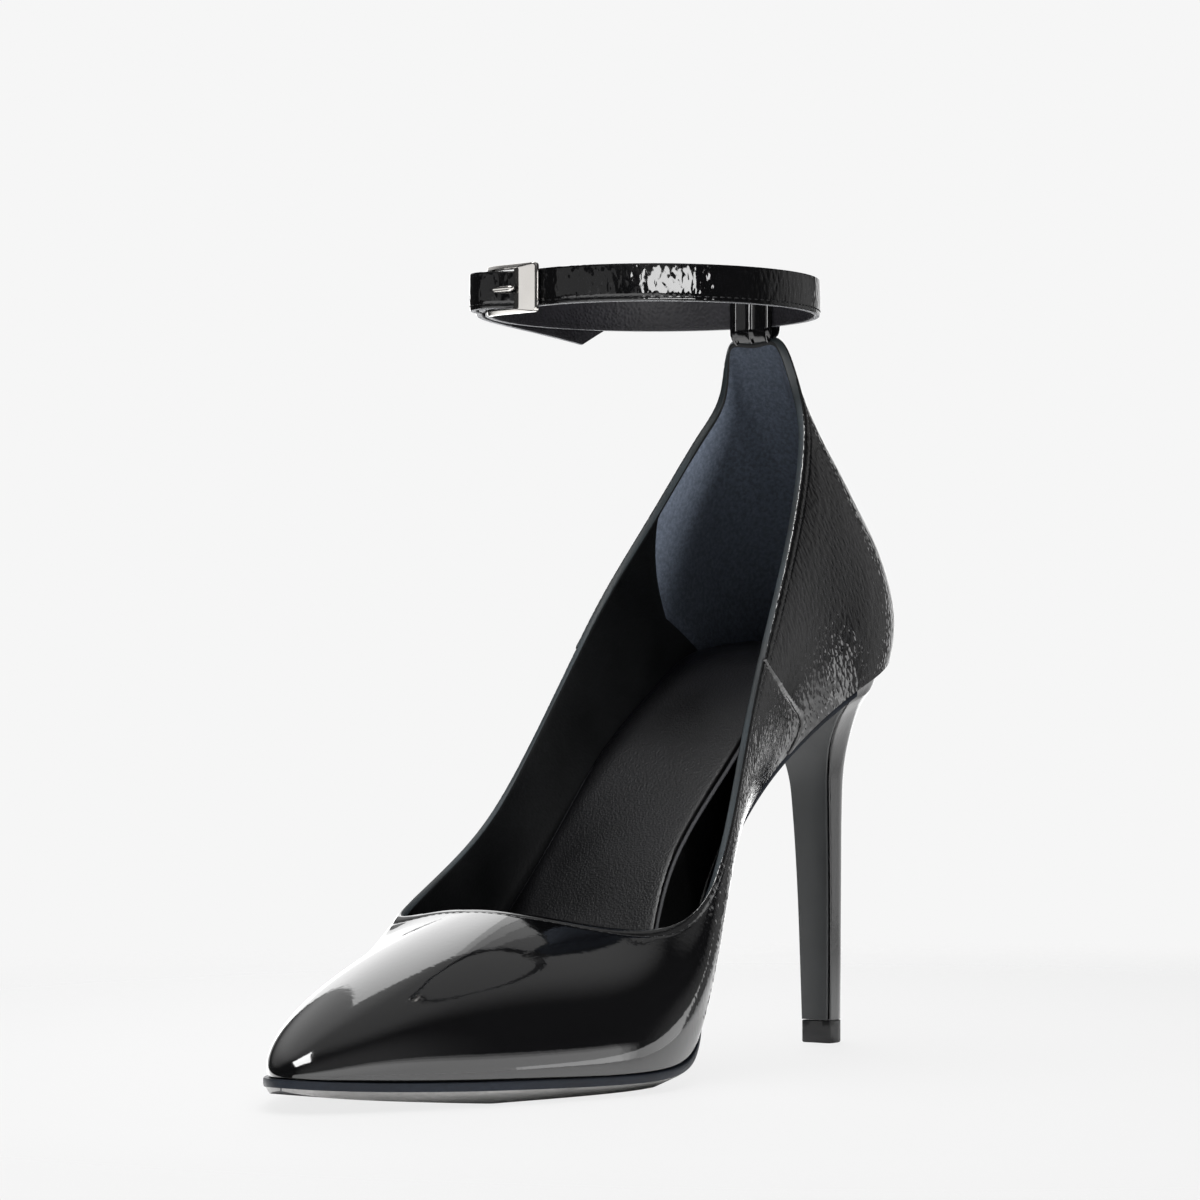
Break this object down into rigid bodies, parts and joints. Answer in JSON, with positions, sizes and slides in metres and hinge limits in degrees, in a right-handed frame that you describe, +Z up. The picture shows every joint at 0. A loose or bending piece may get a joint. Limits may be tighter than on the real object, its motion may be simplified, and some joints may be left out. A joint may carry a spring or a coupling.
{
  "type": "stiletto heel",
  "caption": "High-heeled pointed pump for a left foot, with a high open-sided back, a slim heel and a buckled ankle strap that runs through a loop.",
  "frame": {"origin": "middle of the heel tip's flat underside, on the floor", "axes": "+X towards the toe, +Y towards the outer side of this left shoe, +Z up"},
  "size_m": [0.2242, 0.0792, 0.1878],
  "materials": {
    "patent": "black patent, high gloss",
    "sole": "black dyed edge, satin",
    "sock": "black fine grain, matt",
    "breast": "dark grey satin",
    "tip_rubber": "black, matt",
    "nickel": "bright polished"
  },
  "bodies": {
    "root": {"upper": "patent", "outsole": "sole", "insole": "sock", "heel": "patent", "heel_breast": "breast", "top_piece": "tip_rubber", "ankle_strap": "patent", "strap_loop": "patent", "buckle_frame": "nickel", "buckle_prong": "nickel"}
  },
  "joints": []
}
